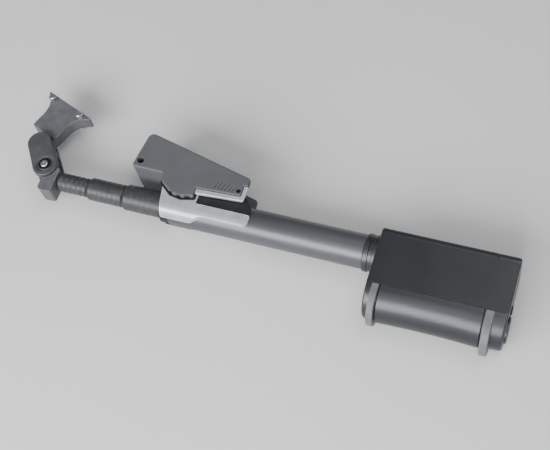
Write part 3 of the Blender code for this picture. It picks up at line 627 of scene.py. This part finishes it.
def bumper(x0, x1, front, carrier_front):
    """Soft bumper let into a channel round the nose: the band itself and the channel's cutter."""
    band = worked(drawn([d_ring(x0, front + 1.0, 0.7), d_ring(x0 + 0.25, front + 0.3, 0.1),
                         d_ring(x0 + 0.8, front, -0.1), d_ring(x1 - 0.8, front, -0.1),
                         d_ring(x1 - 0.25, front + 0.3, 0.1), d_ring(x1, front + 1.0, 0.7)],
                        closed=False),
                  ("DIFFERENCE", d_bar(x0 - 2, x1 + 2, carrier_front, 1.0)),
                  # it stops at the label's front edge and at the face that the wand lies on
                  ("DIFFERENCE", brick((x0 - 5, -31.6, -30), (x1 + 5, 30, 30))),
                  ("DIFFERENCE", brick((x0 - 5, -80, -30), (x1 + 5, 30, -FACE_Z))))
    channel = worked(d_bar(x0 - 0.15, x1 + 0.15, front - 4, -1.0),
                     ("DIFFERENCE", d_bar(x0 - 2, x1 + 2, carrier_front, 1.2)),
                     ("DIFFERENCE", brick((x0 - 5, -31.4, -30), (x1 + 5, 30, 30))))
    return band, channel


# middle section: out along its skin and back along its bore, with a small chamfer at each end
start, end = BODY_X
stations = [start + (end - start) * k / 24 for k in range(25)]
chamfer = 0.35
rings = [d_ring(start, waist(start), chamfer)]
rings += [d_ring(x, waist(x)) for x in [start + chamfer] + stations[1:-1] + [end - chamfer]]
rings += [d_ring(end, waist(end), inset) for inset in (chamfer, WALL)]
rings += [d_ring(x, waist(x), WALL) for x in reversed(stations[:-1])]
label_recess = slab(rounded([(90, -31.3, 2), (230, -31.3, 2), (230, 9.9, 2), (90, 9.9, 2)]),
                    19.45, 22)
seat(worked(drawn(rings), ("DIFFERENCE", label_recess)), "housing_mid_section", housing_anodised,
     "handle", ["housing_body"], sharp=25)

band, channel = bumper(108.8, 114.2, -56.0, -51.2)
rings = [d_ring(104.4, -49.6, 0.6), d_ring(104.7, -50.2, 0.15), d_ring(105.6, -50.8),
         d_ring(108.2, -51.0), d_ring(114.6, -51.9), d_ring(114.9, -51.9, 0.3)]
front_cover = worked(drawn(rings, closed=False),
                     ("DIFFERENCE", d_bar(107.4, 118.0, -50.8, WALL)),
                     ("DIFFERENCE", rod(100, 110, TUBE_FIT, steps=FINE)),
                     ("DIFFERENCE", channel))
seat(front_cover, "housing_front_cover", housing_anodised, "handle", ["housing_front_cap"],
     sharp=25)
seat(band, "bumper_band_front", bumper_elastomer, "handle", ["housing_front_cap"], sharp=30)

band, channel = bumper(192.8, 199.0, -57.6, -51.4)
rings = [d_ring(192.1, -52.4, 0.3), d_ring(192.4, -52.4), d_ring(199.6, -51.0),
         d_ring(206.8, -50.8), d_ring(207.8, -50.6, 0.25), d_ring(208.4, -50.2, 0.8),
         d_ring(208.6, -49.6, 1.4)]
rear_cover = worked(drawn(rings, closed=False),
                    ("DIFFERENCE", d_bar(188.0, 203.8, -50.8, WALL)),
                    ("DIFFERENCE", rod(200, 212, 10.5, (0, BATTERY_Y, 0))),
                    ("DIFFERENCE", rod(200, 212, 4.1, (0, BUTTON_Y, 0), steps=40)),
                    ("DIFFERENCE", channel))
screw_hole = [(200, 0), (200, 1.5), (207.0, 1.5), (207.0, 2.7), (210, 2.7), (210, 0)]
pan_head = [(201.0, 0), (201.0, 1.2), (207.3, 1.2), (207.3, 2.4), (207.9, 2.35), (208.3, 1.9),
            (208.4, 0)]
for number, (y, z) in enumerate(CAP_SCREWS, 1):
    rear_cover = worked(rear_cover, ("DIFFERENCE", turned(screw_hole, (0, y, z), steps=SMALL)))
    cross = [("DIFFERENCE", brick((207.6, y - a, z - b), (209, y + a, z + b)))
             for a, b in ((1.6, 0.28), (0.28, 1.6))]
    seat(worked(turned(pan_head, (0, y, z), steps=SMALL), *cross), f"cap_screw_cross_{number}",
         stainless, "handle", [f"cap_screw_{number}"])
seat(rear_cover, "housing_rear_cover", housing_anodised, "handle", ["housing_rear_cap"],
     sharp=25)
seat(band, "bumper_band_rear", bumper_elastomer, "handle", ["housing_rear_cap"], sharp=30)

seat(slab(rounded([(105.4, -31.0, 2), (207.6, -31.0, 2), (207.6, 9.6, 2), (105.4, 9.6, 2)]),
          19.9, 20.4, top=0.15), "front_label_blank", label_film, "handle", ["label_panel"])

cap = turned([(198.8, 0), (198.8, 9.0), (199.6, 10.0), (209.5, 10.0), (210.1, 9.8), (210.4, 9.3),
              (210.4, 0)], (0, BATTERY_Y, 0), steps=FINE)
coin_slot = brick((208.8, BATTERY_Y - 7.5, -0.9), (212, BATTERY_Y + 7.5, 0.9))
seat(worked(cap, ("DIFFERENCE", coin_slot)), "battery_cap_coin_slot", housing_anodised,
     "battery_cap", ["battery_cap"], edge=0.12)
seat(turned([(201.8, 0), (201.8, 3.8), (208.9, 3.8), (209.4, 3.6), (209.7, 3.1), (209.5, 1.8),
             (209.4, 0)], (0, BUTTON_Y, 0), steps=48), "power_button_dished", acetal_black_and_painted_shade,
     "power_button", ["power_button"])

# the solids that are kept as they are, most of them inside, only get their finish
for node, material in (("lock_sleeve_1", acetal_white), ("lock_sleeve_2", acetal_white),
                       ("lock_sleeve_3", acetal_white), ("mouth_bushing", acetal_black_and_painted_shade),
                       ("trigger_pin", stainless), ("trigger_spring", stainless),
                       ("trigger_switch", acetal_black_and_painted_shade), ("main_board", board_mask),
                       ("rf_shield", stainless), ("power_switch", acetal_black_and_painted_shade),
                       ("battery_pack", cell_wrap), ("battery_spring", stainless)):
    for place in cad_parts[node].material_slots:
        place.material = material

# ---- floor, light and camera ------------------------------------------------------------------
floor_mesh = bpy.data.meshes.new("studio_floor")
bm = bmesh.new()
bmesh.ops.create_grid(bm, x_segments=1, y_segments=1, size=4.0)    # metres to each side
bm.to_mesh(floor_mesh)
bm.free()
floor = bpy.data.objects.new("studio_floor", floor_mesh)
bpy.context.scene.collection.objects.link(floor)
floor_mesh.materials.append(surface("studio_paper", "#d5d5d5", "#d9d9d9", 0.0, 0.8, 2.0, 0.01,
                                    blotch=300))

world = bpy.data.worlds.new("studio")
bpy.context.scene.world = world
world.use_nodes = True
world.node_tree.nodes["Background"].inputs["Color"].default_value = (0.9, 0.92, 0.95, 1)
world.node_tree.nodes["Background"].inputs["Strength"].default_value = 0.30


def softbox(name, at, size, watts):
    """A rectangular lamp that faces the wand's middle, placed and sized in metres."""
    lamp = bpy.data.lights.new(name, "AREA")
    lamp.shape, lamp.size, lamp.size_y, lamp.energy = "RECTANGLE", *size, watts
    ob = bpy.data.objects.new(name, lamp)
    ob.location = at
    ob.rotation_euler = (-Vector(at)).to_track_quat("-Z", "Y").to_euler()
    bpy.context.scene.collection.objects.link(ob)


softbox("key_softbox", (-0.30, -1.15, 0.72), (1.7, 0.80), 41)
softbox("overhead_softbox", (0.35, -0.5, 1.4), (1.0, 1.0), 6)
softbox("back_softbox", (0.50, 0.40, 1.40), (0.9, 0.6), 5.5)

# from above and a little in front of the wand, turned so that the pole runs across the frame
camera = bpy.data.cameras.new("camera")
camera.sensor_fit, camera.angle = "HORIZONTAL", radians(28.725)
viewer = bpy.data.objects.new("camera", camera)
viewer.location = (0.24018, -0.34652, 0.75215)
viewer.rotation_euler = [radians(a) for a in (28.005, 8.009, 18.290)]
bpy.context.scene.collection.objects.link(viewer)
bpy.context.scene.camera = viewer
